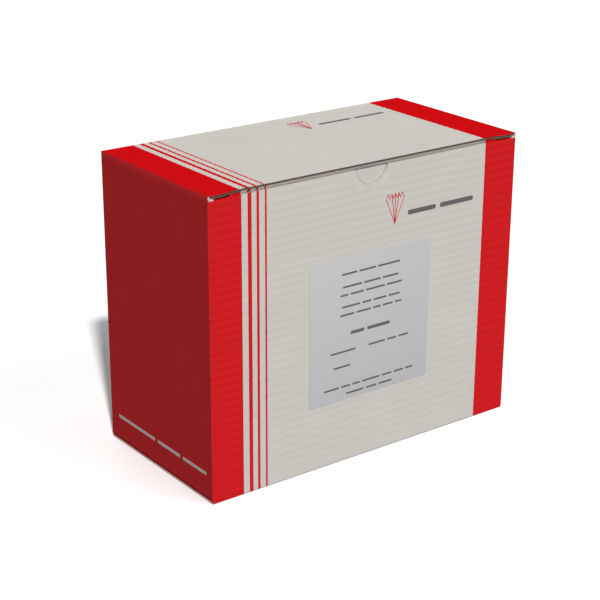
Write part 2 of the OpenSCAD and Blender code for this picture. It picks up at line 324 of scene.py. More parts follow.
def sliceFaces(bm, faces, axis, values):
    normal = Vector((0, 0, 0))
    normal[axis] = 1
    active = set(faces)
    for value in sorted(values):
        done = bmesh.ops.bisect_plane(
            bm, geom=withRims(active), dist=1e-5, plane_co=normal * value, plane_no=normal)
        active |= {f for f in done["geom"] if isinstance(f, bmesh.types.BMFace)}
        active = {f for f in active if f.is_valid and max(v.co[axis] for v in f.verts) > value + 1e-4}


def fluteRows(low, high):
    step = board["flutePitch"] / board["samples"]
    first = math.ceil((low - board["fluteStart"]) / step)
    last = math.floor((high - board["fluteStart"]) / step)
    return [board["fluteStart"] + i * step for i in range(first, last + 1)]


def skin(kind, runAxis, depthAxis, zero=0, sign=1, crushed=0, shift=0):
    # What a face is made of, the axis its flutes are counted along, and how depth in a cut edge is measured
    return kind, runAxis, depthAxis, zero, sign, crushed, shift


def markSkins(bm, judge):  # judge(centre, normal) gives a face's skin
    kinds = bm.faces.layers.int.new("kind")
    edgeUv = bm.loops.layers.uv.new("boardEdge")
    runLayer = bm.verts.layers.float.new("fluteRun")
    maskLayer = bm.verts.layers.float.new("reliefMask")
    crushLayer = bm.faces.layers.float.new("edgeCrush")
    bm.normal_update()
    runs = {}
    for face in bm.faces:
        face.smooth = True
        kind, runAxis, depthAxis, zero, sign, crushed, shift = judge(face.calc_center_median(), face.normal)
        face[kinds] = kind
        face[crushLayer] = crushed
        for loop in face.loops:
            co = loop.vert.co
            run = 0 if runAxis is None else co[runAxis] - board["fluteStart"]
            loop[edgeUv].uv = (run, (co[depthAxis] - zero) * sign)
            if kind in (printed, bare):
                runs[loop.vert] = run + shift
    for vert in bm.verts:
        normals = [f.normal for f in vert.link_faces]
        flat = all(n.dot(normals[0]) > 0.9999 for n in normals)
        liner = all(f[kinds] in (printed, bare) for f in vert.link_faces)
        vert[runLayer] = runs.get(vert, 0)
        share = board["endShare"] if abs(normals[0].x) > 0.9 else 1.0
        vert[maskLayer] = share if flat and liner else 0.0
    for edge in bm.edges:
        soft = edge.calc_face_angle(0) < math.radians(board["sharpAngle"])
        edge.smooth = len(edge.link_faces) == 2 and soft


def newShapeTree(name, inputs):
    # An empty Geometry Nodes tree with these named inputs, its entry's sockets and the inputs' identifiers
    tree = bpy.data.node_groups.new(name, "GeometryNodeTree")
    tree.interface.new_socket("Geometry", in_out="INPUT", socket_type="NodeSocketGeometry")
    identifiers = {}
    for title, kind in inputs.items():
        made = tree.interface.new_socket(title, in_out="INPUT", socket_type="NodeSocket" + kind)
        identifiers[title] = made.identifier
    tree.interface.new_socket("Geometry", in_out="OUTPUT", socket_type="NodeSocketGeometry")
    return tree, addNode(tree, "NodeGroupInput").outputs, identifiers


def boardTree():
    # Washboard relief of the liners between the flute tips, then one material for each kind of face
    tree, entry, identifiers = newShapeTree("washboard", {
        "Flute pitch": "Float", "Relief depth": "Float", "Bed depth": "Float"})
    run = addNode(tree, "GeometryNodeInputNamedAttribute", {"Name": "fluteRun"}, data_type="FLOAT")
    mask = addNode(tree, "GeometryNodeInputNamedAttribute", {"Name": "reliefMask"}, data_type="FLOAT")
    share = addNode(tree, "ShaderNodeMath", {
        0: run.outputs["Attribute"], 1: entry["Flute pitch"]}, operation="DIVIDE").outputs[0]
    turn = addNode(tree, "ShaderNodeMath", {0: share, 1: 2 * math.pi}, operation="MULTIPLY").outputs[0]
    wave = addNode(tree, "ShaderNodeMath", {0: turn}, operation="COSINE").outputs[0]
    sink = addNode(tree, "ShaderNodeMath", {0: wave, 1: 0.5, 2: -0.5}, operation="MULTIPLY_ADD").outputs[0]
    for operation, other in (
            ("MULTIPLY", entry["Relief depth"]), ("SUBTRACT", entry["Bed depth"]),
            ("MULTIPLY", mask.outputs["Attribute"])):
        sink = addNode(tree, "ShaderNodeMath", {0: sink, 1: other}, operation=operation).outputs[0]
    normal = addNode(tree, "GeometryNodeInputNormal").outputs[0]
    offset = addNode(tree, "ShaderNodeVectorMath", {0: normal, "Scale": sink}, operation="SCALE").outputs[0]
    moved = addNode(tree, "GeometryNodeSetPosition", {"Geometry": entry["Geometry"], "Offset": offset})
    made = addNode(tree, "GeometryNodeRealizeInstances", {"Geometry": moved.outputs[0]})
    kind = addNode(tree, "GeometryNodeInputNamedAttribute", {"Name": "kind"}, data_type="INT")
    kind = kind.outputs["Attribute"]
    for number, material in enumerate(boardMaterials):
        same = addNode(tree, "FunctionNodeCompare", {2: kind, 3: number}, data_type="INT", operation="EQUAL")
        made = addNode(tree, "GeometryNodeSetMaterial", {
            "Geometry": made.outputs[0], "Selection": same.outputs[0], "Material": material})
    addNode(tree, "NodeGroupOutput", {"Geometry": made.outputs[0]})
    return tree, identifiers


def meshObject(bm, name, scale=mm):
    manySided = [f for f in bm.faces if len(f.verts) > 4]
    bmesh.ops.triangulate(bm, faces=manySided, ngon_method="BEAUTY")
    bmesh.ops.scale(bm, vec=(scale,) * 3, verts=bm.verts)
    mesh = bpy.data.meshes.new(name)
    bm.to_mesh(mesh)
    bm.free()
    made = bpy.data.objects.new(name, mesh)
    bpy.context.scene.collection.objects.link(made)
    return made


def bakeNodes(made, tree, identifiers, values):
    # Runs a Geometry Nodes tree on the object and keeps its result as a plain mesh
    modifier = made.modifiers.new("shape", "NODES")
    modifier.node_group = tree
    for title, value in values.items():
        modifier[identifiers[title]] = value
    bpy.context.view_layer.update()
    result = bpy.data.meshes.new_from_object(made.evaluated_get(bpy.context.evaluated_depsgraph_get()))
    made.modifiers.clear()
    result.name = made.name
    made.data = result
    return made


washboard, washboardInputs = boardTree()


def pressBoard(made, relief):  # the relief in mm
    return bakeNodes(made, washboard, washboardInputs, {
        "Flute pitch": board["flutePitch"], "Relief depth": relief * mm, "Bed depth": board["bed"] * mm})


def judgeCarton(c, n):
    w, d, t = board["halfWidth"], board["halfDepth"], board["thick"]
    top, dip, bleed, fold = board["dustFlapTop"], board["frontDip"], board["flapBleed"], board["foldRound"]
    if c.z > dip + 0.01 and abs(c.x) > w - 3.2 and c.y < -d + 1.5 and (n.y < -0.9 or n.z > 0.5):
        return skin(bare, xAxis, zAxis)  # the front wall's corners
    if c.y > d - 2.5 and c.z > top and abs(c.x) > w - 0.6:
        return skin(printed, zAxis, yAxis)  # ends of the back wall, over the dust flaps
    if c.z > top - t - 0.01 and abs(c.y) < d - 1.6 and abs(n.z) < 0.6 and abs(c.x) < w - 1.0:
        return skin(cut, xAxis, zAxis, top, -1, 0.25)  # edges of the dust flaps
    if n.z > 0.9 and c.z > top - 0.05:
        if c.y < -d + board["tipDeep"]:
            return skin(cut, xAxis, zAxis, crushed=0.9)  # tips at the front corners, in the darker cut-edge colour as painted shade
        return skin(printed if abs(c.x) > w - bleed else bare, xAxis, zAxis)  # upper side of the dust flaps
    if n.z > 0.9 and c.y < -d + t and c.z > board["notchLow"] + 4:
        rolled = printed if abs(c.x) < w - board["bareCorner"] else bare
        left, right = board["rolled"]
        return skin(cut if left < c.x < right else rolled, zAxis, yAxis, -d, 1, 0.9)  # the front wall's edge, in the darker cut-edge colour between the rolled stretches, partly painted shade
    atNotch = abs(c.x) < board["notchReach"] + 0.8 and c.z > board["notchLow"] - 1
    if c.y < -d + t + 0.01 and atNotch and abs(n.y) < 0.97:
        kind = cut if c.x < board["notchSplit"] else paintedRimShade if c.z < board["rimShadeBelow"] else printed
        return skin(kind, zAxis, yAxis, -d, 1, 0.9)  # wall of the thumb notch, painted darker as shade left of the split and low on its right
    if n.x * c.x < -90 and c.y < -d + board["tipDeep"] and c.z > dip - 0.1:
        return skin(cut, zAxis, yAxis, -d, 1, 0.9)  # inner side of the front wall's corners
    if n.x > 0.9 and c.y > d - t and w - 0.6 < c.x < w - 0.4:
        return skin(cut, zAxis, yAxis, d, -1, 0.2)  # right end of the back wall
    if abs(c.z - t / 2) < t / 2 - 0.05 and abs(n.y) > 0.9 and abs(c.y) < 1:
        return skin(cut, yAxis, zAxis, crushed=0.3)  # seam of the bottom flaps
    if abs(c.y) > d - fold and abs(n.y) > 0.1 and n.y * c.y > 0 and c.z > 0.01:
        return skin(printed, zAxis, yAxis)  # outside of the front and back walls
    if abs(c.x) > w - fold and abs(n.x) > 0.1 and n.x * c.x > 0:
        return skin(printed, zAxis, yAxis)  # outside of the end walls
    if c.z < 0.9 and n.z < -0.1:
        return skin(printed if c.z > 0.01 or abs(c.y) > d - fold - bleed else bare, yAxis, zAxis)  # underside
    if abs(n.x) < 0.5 and abs(n.y) > 0.9 and abs(c.y - d + 1.5 * t) < t / 2 - 0.01:
        return skin(cut, zAxis, yAxis, d - t, -1, 0.2)  # edges of the glue flap
    if d - 2 * t < c.y < d - t and (abs(n.z) > 0.6 or n.x < -0.6) and c.z > board["floorTop"] + 0.1:
        return skin(cut, zAxis, yAxis, d - t, -1, 0.2)
    inner = zAxis
    if abs(n.z) > 0.9:
        inner = xAxis if c.z > board["floorTop"] - 0.1 else yAxis
    return skin(bare, inner, yAxis, shift=board["flutePitch"] / 2)  # inside, half a flute on


def makeCartonBoard():
    bm = mergedCopy("carton")
    w, d, t = board["halfWidth"], board["halfDepth"], board["thick"]
    bleed, fold, floorTop = board["flapBleed"], board["foldRound"], board["floorTop"]
    reach, low, corner = board["notchReach"], board["notchLow"], w - board["bareCorner"]
    rim = [e for e in bm.edges if all(
        abs(v.co.y + d) < 0.01 and abs(v.co.x) < reach and v.co.z > low for v in e.verts)]
    bmesh.ops.bevel(
        bm, geom=rim, offset=board["notchRim"], segments=2, profile=0.5, affect="EDGES", clamp_overlap=True)
    top = board["dustFlapTop"] - t
    sliceFaces(bm, bm.faces, zAxis, [floorTop + 0.6, board["frontDip"] + 0.02, top - 0.6])
    sliceFaces(bm, bm.faces, xAxis, [-w + 1.2, w - 1.2, -w + bleed, w - bleed])
    sliceFaces(bm, bm.faces, yAxis, [-d + 1.2, d - 1.2, -d + fold + bleed, d - fold - bleed])
    flaps = facesWhere(bm, lambda c, n: abs(n.z) > 0.9 and c.z > top - 0.1)
    sliceFaces(bm, flaps, yAxis, [-d + board["tipDeep"], -board["flapTip"], board["flapTip"]])
    flaps = facesWhere(bm, lambda c, n: abs(n.z) > 0.9 and c.z > top - 0.1 and abs(c.y) < d - t)
    sliceFaces(bm, flaps, xAxis, fluteRows(-w + 3.5, w - 3.5))
    under = facesWhere(bm, lambda c, n: n.z < -0.9 and c.z < 0.1)
    sliceFaces(bm, under, yAxis, fluteRows(-d + 2, d - 2))
    inside = facesWhere(bm, lambda c, n: n.z > 0.9 and abs(c.z - floorTop) < 0.1)
    sliceFaces(bm, inside, xAxis, fluteRows(-w + 3, w - 3))
    walls = facesWhere(bm, lambda c, n: abs(n.z) < 0.5)
    sliceFaces(bm, walls, zAxis, fluteRows(3.6, board["height"] - 1.0))
    front = facesWhere(bm, lambda c, n: c.y < -d + t + 0.1)
    sliceFaces(bm, front, xAxis, [-corner, corner, -reach - 0.6, reach + 0.6, *board["rolled"]])
    markSkins(bm, judgeCarton)
    mask = bm.verts.layers.float["reliefMask"]
    for vert in bm.verts:  # the rim of the thumb notch sinks with the liner round it
        co = vert.co
        if co.y < -d + 0.001 and abs(co.x) < reach + 0.3 and low - 1 < co.z < board["frontDip"]:
            vert[mask] = 1.0
    for vert in bm.verts:
        if vert.co.z > 161.0 and abs(vert.co.x) > w - 0.45 and abs(vert.co.y) < d - 0.7:
            vert.co.x -= math.copysign(board["foldTuck"], vert.co.x)
    return pressBoard(meshObject(bm, "cartonBoard"), board["wallRelief"])


cartonBoard = makeCartonBoard()
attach(cartonBoard, "carton_body")
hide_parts("carton")
print("carton board:", len(cartonBoard.data.polygons), "faces")

lidLook = {
    "flapHalf": 86,  # half the width of the tuck flap
    "sideEdge": 99.69,  # what lies beyond is a side edge
    "crease": (-47.9, 162.346),  # where the tuck flap leaves the lid
    "lip": (-49.9, 162.45),  # the flap rolls forward over the front wall's edge, down to its foot
    "foot": (-49.06, 160.96), "footUnder": 160.88,
    "rollEnds": (82, 84, 86),  # and back in again at its two ends
    "endPaintedShadeLow": 161.6,  # whose faces are painted as shade down to this height
    "edgeDrop": 1.06,  # the crushed side edges hang down over the end walls
    "edgeTurn": 0.64, "edgeOut": 0.24,  # and their upper strip is rolled outwards
    "edgeLowOut": 0.29,
    "earPrint": 0.4,  # the printed liner curls over the cut edge of the ears
    "earFrayed": ((100.0, 162.95), (96.2, 160.35)),  # line under which the ear's corner is frayed pale
}


def judgeLid(c, n):
    w, d, t, h = board["halfWidth"], board["halfDepth"], board["thick"], board["height"]
    flap, (y0, z0) = lidLook["flapHalf"], lidLook["crease"]
    # the crease groove and the flap's upward-facing lip take the dark crease colour, a painted shade
    groove = abs(c.y - y0) < 0.32 and abs(c.z - z0) < 0.32 or c.y < y0 - 0.3 and n.z > 0.5
    if abs(c.x) < flap + 0.1 and groove:
        return skin(crease, yAxis, zAxis)
    # the rolled ends of the flap are painted as shade too
    rollEnd = lidLook["rollEnds"][0] < abs(c.x) < flap + 0.1 and c.y < y0 - 0.2
    if rollEnd and lidLook["endPaintedShadeLow"] < c.z < h - 0.4:
        return skin(crease, yAxis, zAxis)
    outer = n.z > 0.5 and c.z > h - 1 or c.y > d - 1.2 and n.y > 0.1 and n.z > -0.1
    if outer or abs(n.x) > 0.9 and abs(c.x) > w - 0.6:
        return skin(printed, yAxis, zAxis)
    if c.z > h - t - 0.05 and n.y < -0.5 and abs(c.x) > flap - 0.1:
        (x0, z1), (x1, z2) = lidLook["earFrayed"]
        if abs(c.x) > x1 and c.z < z2 + (z1 - z2) * (abs(c.x) - x1) / (x0 - x1):
            return skin(bare, yAxis, zAxis)
        if c.z > h - lidLook["earPrint"]:
            return skin(printed, yAxis, zAxis, h, -1)
        # the ear's cut edge shows mostly the painted shade of an open flute
        return skin(cut, None, zAxis, h, -1)
    if c.z > h - t - 0.05 and abs(n.x) > 0.9:
        return skin(cut, yAxis, zAxis, h, -1)
    if c.z < h - t - 0.05 or c.y < y0 + 0.4:  # the tuck flap
        if abs(n.x) > 0.6 or n.z < -0.6 and c.z < h - 10:
            return skin(cut, zAxis, yAxis, y0 - 0.3, 1, 0.2)
        if n.y < 0:
            return skin(printed, zAxis, yAxis)
        return skin(bare, zAxis, yAxis, shift=board["flutePitch"] / 2)
    return skin(bare, yAxis, zAxis, shift=board["flutePitch"] / 2)


def makeLidBoard():
    bm = mergedCopy("lid")
    w, d, t, h = board["halfWidth"], board["halfDepth"], board["thick"], board["height"]
    flap, turned, (creaseY, crest) = lidLook["flapHalf"], h - lidLook["edgeTurn"], lidLook["crease"]
    (lipY, lipZ), (footY, footZ), under = lidLook["lip"], lidLook["foot"], lidLook["footUnder"]
    sliceFaces(bm, bm.faces, xAxis, [-w + 3.6, w - 3.6, -w + 1.2, w - 1.2])
    sliceFaces(bm, bm.faces, yAxis, [creaseY + 0.6, d - 2.4])
    flat = facesWhere(bm, lambda c, n: abs(n.y) < 0.5 and c.z > h - t - 0.1)
    sliceFaces(bm, flat, yAxis, fluteRows(creaseY + 0.9, d - 2.4))
    tuck = facesWhere(bm, lambda c, n: c.z < h - t)
    sliceFaces(bm, tuck, zAxis, fluteRows(h - 20, under - 0.3) + [under, footZ, (footZ + lipZ) / 2])
    roll = facesWhere(bm, lambda c, n: c.y < creaseY + 0.4 and c.z > under - 0.1)
    sliceFaces(bm, roll, xAxis, [x * side for x in lidLook["rollEnds"][:2] for side in (-1, 1)])
    ears = facesWhere(bm, lambda c, n: n.y < -0.5 and abs(c.x) > flap - 0.1)
    sliceFaces(bm, ears, zAxis, [h - lidLook["earPrint"]])
    (x0, z0), (x1, z1) = lidLook["earFrayed"]
    for side in (-1, 1):
        ears = facesWhere(bm, lambda c, n: n.y < -0.5 and c.x * side > flap - 0.1)
        slope = Vector(((z1 - z0) * side, 0, x0 - x1)).normalized()
        bmesh.ops.bisect_plane(
            bm, geom=withRims(ears), dist=1e-4, plane_co=(x0 * side, 0, z0), plane_no=slope)
    sides = facesWhere(bm, lambda c, n: abs(n.x) > 0.9 and abs(c.x) > lidLook["sideEdge"])
    sliceFaces(bm, sides, zAxis, [turned])
    full, gone = lidLook["rollEnds"][0], lidLook["rollEnds"][-1]
    for vert in bm.verts:  # the flap's upper edge is rolled forward
        co = vert.co
        atLip = abs(co.z - crest) < 0.003 and co.y < creaseY - 0.25
        if abs(co.x) < gone and (atLip or co.y < creaseY - 0.1 and footZ - 0.01 < co.z < crest - 0.4):
            share = min(1, (gone - abs(co.x)) / (gone - full))
            share *= share * (3 - 2 * share)
            height = lipZ if atLip else co.z
            co.y += share * (footY + (lipY - footY) * (height - footZ) / (lipZ - footZ) - co.y)
            co.z += share * (height - co.z)
    markSkins(bm, judgeLid)
    for vert in bm.verts:  # the side edges are rolled outwards and down
        if abs(vert.co.x) > lidLook["sideEdge"] and vert.co.z < turned + 0.01:
            low = vert.co.z < turned - 0.1
            vert.co.z -= lidLook["edgeDrop"] if low else 0
            vert.co.x += math.copysign(lidLook["edgeLowOut"] if low else lidLook["edgeOut"], vert.co.x)
    return pressBoard(meshObject(bm, "lidBoard"), board["lidRelief"])


lidBoard = makeLidBoard()
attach(lidBoard, "lid_body")
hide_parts("lid")
print("lid board:", len(lidBoard.data.polygons), "faces")

backFoldLook = {
    "inset": 0.32,  # its ends lie this far inside the carton's
    "low": 160.6,  # the liner runs over the fold from here on the back wall
    "ahead": 47.9,  # to here on the lid
    "hem": (0.8, 0.6),  # flat strips before and after the bend
    "radius": 0.8,
    "steps": 10, "columns": 40,
    "film": 0.1,  # thickness of the liner, drawn thin
    "rubbed": range(4, 9),  # rows of faces on the crest, where the ink has rubbed off
}


def makeBackFold():
    # Outer liner, which runs in one piece over the fold between the back wall and the lid
    look = backFoldLook
    w, d, h, r = board["halfWidth"] - look["inset"], board["halfDepth"], board["height"], look["radius"]
    path = [(d, look["low"]), (d, look["low"] + look["hem"][0])]
    for i in range(look["steps"] + 1):
        turn = math.radians(90) * i / look["steps"]
        path.append((d - r + r * math.cos(turn), h - r + r * math.sin(turn)))
    path += [(look["ahead"] + look["hem"][1], h), (look["ahead"], h)]
    bm = bmesh.new()
    widths = [-w + 2 * w * i / look["columns"] for i in range(look["columns"] + 1)]
    outer = [[bm.verts.new((x, y, z)) for x in widths] for y, z in path]
    inner = []
    for i, (y, z) in enumerate(path):
        (y0, z0), (y1, z1) = path[max(i - 1, 0)], path[min(i + 1, len(path) - 1)]
        away = Vector((y1 - y0, z1 - z0)).normalized() * look["film"]
        inner.append([bm.verts.new((x, y - away[1], z + away[0])) for x in widths])
    for i in range(len(path) - 1):
        for j in range(len(widths) - 1):
            face = bm.faces.new((outer[i][j], outer[i + 1][j], outer[i + 1][j + 1], outer[i][j + 1]))
            face.material_index = 1 if i in look["rubbed"] else 0
            face = bm.faces.new((inner[i][j], inner[i][j + 1], inner[i + 1][j + 1], inner[i + 1][j]))
            face.material_index = 1
    rim = [e for e in bm.edges if len(e.link_faces) == 1]
    bmesh.ops.bridge_loops(bm, edges=rim)
    bmesh.ops.recalc_face_normals(bm, faces=bm.faces)
    for face in bm.faces:
        face.smooth = True
    made = meshObject(bm, "backFold")
    for kind in (printed, bare):
        made.data.materials.append(boardMaterials[kind])
    return made


backFold = makeBackFold()
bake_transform(backFold, "carton_body", "lid_body", start=(0, 0.0500, 0.1614), end=(0, 0.0486, 0.162946))
print("the liner runs over the back fold")

labelLook = {
    "front": -50.1,  # the label's face, mm
    "inkRise": 0.012,  # its ink stands this far out
    "paper": "#c4c3c3", "shade": "#b4b3b6",  # painted sheen: greyer towards its lower right corner, lighter towards the upper left
    "lean": -0.23, "shadeAt": 26.6, "paperAt": 125,  # slope of the change, and its two ends in mm
    "grainPerMm": 1.2,
}


def makeLabelPaper():
    # Coated label paper: smooth, a little cooler and glossier than the board
    material, tree = newMaterial("labelPaper")
    look = labelLook
    place = placePoints(tree)
    parts = addNode(tree, "ShaderNodeSeparateXYZ", {"Vector": place})
    # Painted sheen: the label's colour runs from grey at the lower right to lighter at the upper left
    slant = addNode(tree, "ShaderNodeMath", {
        0: parts.outputs["X"], 1: look["lean"], 2: parts.outputs["Z"]}, operation="MULTIPLY_ADD").outputs[0]
    fall = addNode(tree, "ShaderNodeMapRange", {
        "Value": slant, "From Min": look["shadeAt"], "From Max": look["paperAt"]}).outputs[0]
    tint = addNode(tree, "ShaderNodeMix", {
        0: fall, 6: linearColour(look["shade"]), 7: linearColour(look["paper"])}, data_type="RGBA")
    grain = addNode(tree, "ShaderNodeTexNoise", {"Vector": place, "Scale": look["grainPerMm"], "Detail": 3.0})
    finishSurface(tree, tint.outputs[2], 0.55, 0.1, grain.outputs["Fac"], 0.004)
    return material


inkLook = {
    "red": "#c8282c", "grey": "#646363", "pale": "#d2c6c4",
    "specksPerMm": 2.5, "tones": (0.94, 1.06),
    "film": 0.015,  # mm, drawn as a thin block
}


def makeInk(name):
    # Printing ink: almost matt, with a slight unevenness where it soaks in
    material, tree = newMaterial(name + "Ink")
    speck = addNode(tree, "ShaderNodeTexNoise", {
        "Vector": placePoints(tree), "Scale": inkLook["specksPerMm"], "Detail": 2.0}).outputs["Fac"]
    colour = tonedColour(tree, linearColour(inkLook[name])[:3], speck, noiseSpan, inkLook["tones"])
    finishSurface(tree, colour, 0.8, 0.05)
    return material


redInk, greyInk, paleInk = makeInk("red"), makeInk("grey"), makeInk("pale")


def makeLabel():
    bm = mergedCopy("label")
    for vert in bm.verts:
        if vert.co.y < -board["halfDepth"] - 0.01:
            vert.co.y = labelLook["front"]
    for face in bm.faces:
        face.smooth = False
    made = meshObject(bm, "labelPaper")
    made.data.materials.append(makeLabelPaper())
    return made


def roundedBar(width, height, radius, steps=3):
    # Corner points of a bar that starts at the origin
    corners = [(width - radius, radius, -90), (width - radius, height - radius, 0),
               (radius, height - radius, 90), (radius, radius, 180)]
    points = []
    for x, y, start in corners:
        for i in range(steps + 1):
            turn = math.radians(start + 90 * i / steps)
            points.append((x + radius * math.cos(turn), y + radius * math.sin(turn)))
    return points


def strokeParts(points, width):
    # One bar with round ends for each stretch of a pen line
    parts = []
    for (x0, y0), (x1, y1) in zip(points, points[1:]):
        turn = math.atan2(y1 - y0, x1 - x0)
        along, across = math.cos(turn), math.sin(turn)
        bar = roundedBar(math.hypot(x1 - x0, y1 - y0) + width, width, width * 0.49)
        parts.append([(x0 + (u - width / 2) * along - (v - width / 2) * across,
                       y0 + (u - width / 2) * across + (v - width / 2) * along) for u, v in bar])
    return parts


def inkObject(name, shapes, place, material, body):
    # place(u, v, depth) puts a point of the artwork on its panel, the given depth under the surface
    film = inkLook["film"]
    bm = bmesh.new()
    for number, shape in enumerate(shapes):
        sunk = film * (number % 4) / 6  # strokes that cross lie at unlike depths
        top = [bm.verts.new(place(u, v, sunk)) for u, v in shape]
        foot = [bm.verts.new(place(u, v, film)) for u, v in shape]
        bm.faces.new(top)
        bm.faces.new(foot[::-1])
        for i in range(len(shape)):
            j = (i + 1) % len(shape)
            bm.faces.new((top[j], top[i], foot[i], foot[j]))
    bmesh.ops.recalc_face_normals(bm, faces=bm.faces)
    made = meshObject(bm, name)
    made.data.materials.append(material)
    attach(made, body)


def onFront(u, v, depth):
    return u - board["halfWidth"], -board["halfDepth"] + depth, v


def onLabel(u, v, depth):
    return u - board["halfWidth"], labelLook["front"] - labelLook["inkRise"] + depth, v


def onLid(u, v, depth):
    return u - board["halfWidth"], v - board["halfDepth"], board["height"] - depth


def onLeftEnd(u, v, depth):
    return -board["halfWidth"] + depth, board["halfDepth"] - u, v


def wordBars(line, height, words, picker):
    # A line of type stands as bars, about as long as its words
    (start, end, middle), (shortest, longest, gap) = line, words
    bars, at = [], start
    while at < end - 1.0:
        length = min(picker.uniform(shortest, longest), end - at)
        if end - at - length < shortest:
            length = end - at
        bar = roundedBar(length, height, height * 0.3)
        bars.append([(at + x, middle - height / 2 + y) for x, y in bar])
        at += length + gap
    return bars


artLook = {  # a line is its left end, right end and middle height, words their least and most length and gap
    "labelLines": [
        (81.0, 119.8, 106.5), (81.8, 119.0, 99.5), (80.2, 121.5, 95.0), (81.2, 120.2, 88.5),
        (80.2, 121.5, 84.0), (74.3, 90.7, 63.7), (99.7, 126.8, 63.7), (76.2, 87.3, 55.3),
        (70.2, 130.7, 43.7), (84.8, 116.2, 39.3)],
    "lineHeight": 1.05, "lineWords": (5.0, 13.0, 1.5),
    "headLine": (87.3, 113.7, 73.3), "headHeight": 1.8, "headWords": (7, 11, 2),
    "endLine": (8.2, 94.3, 15.4), "endHeight": 1.9, "endWords": (14, 40, 2.6),
    "name": (124.3, 170.0), "nameHeight": 2.6, "nameWords": (18, 24, 3),
    "signLeft": 109.5, "signSize": (12, 19), "pen": 0.42,
    "feet": {"front": (127.6, 130.6), "lid": (71.5, 75.4)},  # foot of the sign and of the name
}


def filterSign(left, low, width, height, teeth=5):
    # Plain sign of a pleated paper: a cone with a zigzag rim
    apex, rim = (left + width / 2, low), []
    for i in range(2 * teeth + 1):
        rim.append((left + width * i / (2 * teeth), low + height * (0.86 if i % 2 else 0.72)))
    lines = strokeParts(rim, artLook["pen"])
    for point in (rim[0], rim[-1], rim[3], rim[-4], rim[teeth]):
        lines += strokeParts([point, apex], artLook["pen"])
    return lines


def makeArtwork():
    look = artLook
    picker = random.Random(5)
    words = []
    for line in look["labelLines"]:
        words += wordBars(line, look["lineHeight"], look["lineWords"], picker)
    words += wordBars(look["headLine"], look["headHeight"], look["headWords"], picker)
    inkObject("labelWords", words, onLabel, greyInk, "carton_body")
    tall = look["nameHeight"]
    for name, place, body, slotName in (
            ("front", onFront, "carton_body", "carton_board"), ("lid", onLid, "lid_body", "lid_board")):
        signLow, nameLow = look["feet"][name]
        sign = filterSign(look["signLeft"], signLow, *look["signSize"])
        inkObject(name + "Sign", sign, place, redInk, body)
        words = wordBars((*look["name"], nameLow + tall / 2), tall, look["nameWords"], picker)
        inkObject(name + "Words", words, place, greyInk, body)
    words = wordBars(look["endLine"], look["endHeight"], look["endWords"], picker)
    inkObject("endWords", words, onLeftEnd, paleInk, "carton_body")


labelPaper = makeLabel()
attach(labelPaper, "carton_body")
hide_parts("label")
makeArtwork()
print("label and print are on")

pleated = {
    "radius": 92.5, "pleats": 16, "spread": 150,
    "ply": 0.3, "height": 1.1,  # mm, one ply and the whole folded filter
    "pitch": 1.3, "nested": 99,  # height that each filter adds to the pile, and their number
    "seat": 0.2,  # gap under the uppermost filter
    "low": 8.22,  # the lowest filter's apex
    "nestedGroove": 1.5, "topGroove": 6.0,  # how deep the rim is open between the two plies
    "grooveStep": 0.05,  # how much each ply is thicker there
    "turn": 0.3, "slide": 0.35,  # how far the filters lie out of line, degrees and mm
    "seed": 11,
    "paper": ("#e6e2d9", "#efece4"), "fibresPerMm": 1.6, "cloudsPerMm": 0.12,
}


def pleatAngles():
    # Angle of a flat facet, its share of the spread, and how steeply the folds rise and dip
    facet, step = math.radians(180 / pleated["pleats"]), math.radians(pleated["spread"] / pleated["pleats"])
    return facet, step, math.acos(math.sqrt((1 + math.cos(facet)) / (1 + math.cos(step))))


def pleatLines(parts):
    # Directions from the apex along one folded filter: flat facets between ridges and valleys
    facet, step, lift = pleatAngles()
    folds = []
    for i in range(pleated["pleats"] + 1):
        turn, rise = math.radians(-90 - pleated["spread"] / 2) + i * step, lift * (1 if i % 2 else -1)
        level = math.cos(rise)
        folds.append(Vector((level * math.cos(turn), level * math.sin(turn), math.sin(rise))))
    lines = []
    for first, second in zip(folds, folds[1:]):
        for k in range(parts):
            near, far = math.sin((1 - k / parts) * facet), math.sin(k / parts * facet)
            lines.append((near * first + far * second) / math.sin(facet))
    return lines + [folds[-1]]


def pleatedFan(name, rims, parts, apexY):
    # A closed fan; each rim is its (height, radius), from below
    lines = pleatLines(parts)
    bm = bmesh.new()
    rows = []
    for height, radius in rims:
        rows.append([bm.verts.new(line * radius + Vector((0, apexY, height))) for line in lines])
    low, high = bm.verts.new((0, apexY, rims[0][0])), bm.verts.new((0, apexY, rims[-1][0]))
    for j in range(len(lines) - 1):
        bm.faces.new((low, rows[0][j + 1], rows[0][j]))
        bm.faces.new((high, rows[-1][j], rows[-1][j + 1]))
        for below, above in zip(rows, rows[1:]):
            bm.faces.new((below[j], below[j + 1], above[j + 1], above[j]))
    bm.faces.new([low] + [row[0] for row in rows] + [high])
    bm.faces.new([high] + [row[-1] for row in reversed(rows)] + [low])
    bmesh.ops.recalc_face_normals(bm, faces=bm.faces)
    return meshObject(bm, name)


def makeFilterPaper():
    # Qualitative filter paper: pure white cellulose, soft and fully matt, with a fine creped grain
    material, tree = newMaterial("filterPaper")
    place = placePoints(tree)
    fibre = addNode(tree, "ShaderNodeTexNoise", {
        "Vector": place, "Scale": pleated["fibresPerMm"], "Detail": 5.0, "Roughness": 0.65})
    cloud = addNode(tree, "ShaderNodeTexNoise", {
        "Vector": place, "Scale": pleated["cloudsPerMm"], "Detail": 2.0})
    ramp = addNode(tree, "ShaderNodeValToRGB", {"Fac": cloud.outputs["Fac"]})
    for element, code in zip(ramp.color_ramp.elements, pleated["paper"]):
        element.color = linearColour(code)
    finishSurface(tree, ramp.outputs["Color"], 0.95, 0.1, fibre.outputs["Fac"], 0.05)
    return material


